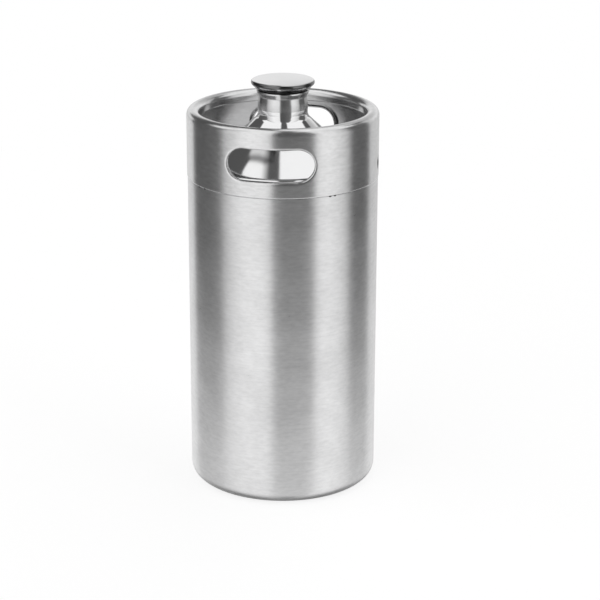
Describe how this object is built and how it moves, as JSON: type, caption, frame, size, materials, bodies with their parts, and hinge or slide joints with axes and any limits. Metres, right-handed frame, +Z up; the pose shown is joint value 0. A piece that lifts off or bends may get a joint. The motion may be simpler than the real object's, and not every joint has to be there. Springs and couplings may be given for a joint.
{
  "type": "mini keg",
  "caption": "Cylindrical brushed-steel mini keg with a rolled carrying collar, flanged hand slots and a mushroom-headed screw cap.",
  "frame": {"origin": "on the keg's axis, at the height of the ring that it stands on", "axes": "+Z up along the keg's axis; -Y towards the hand slot that faces the viewer, whose middle is turned 7.75 degrees towards -X; +X to the right seen from that side"},
  "size_m": [0.1358, 0.1358, 0.295],
  "materials": {
    "brushed_steel": "fine brushed stainless steel",
    "polished_steel": "polished stainless steel",
    "seal_rubber": "matt black silicone"
  },
  "bodies": {
    "keg": {"barrel_tube": "brushed_steel", "base_pressing": "brushed_steel", "shoulder_dome": "polished_steel", "neck_ring": "polished_steel", "handle_collar": "brushed_steel"},
    "seal": {"cap_gasket": "seal_rubber"},
    "cap": {"cap_plug": "polished_steel", "cap_shell": "brushed_steel"}
  },
  "joints": [
    {"name": "cap_rise", "type": "slide", "parent": "keg", "child": "seal", "axis": [0, 0, 1], "range_m": [0, 0.016]},
    {"name": "cap_turn", "type": "hinge", "parent": "seal", "child": "cap", "pos_m": [0, 0, 0.2888], "axis": [0, 0, 1], "range_deg": [0, 1440]}
  ],
  "couplings": [
    {"joint": "cap_rise", "follows": "cap_turn", "m_per_rad": 0.00063662}
  ]
}
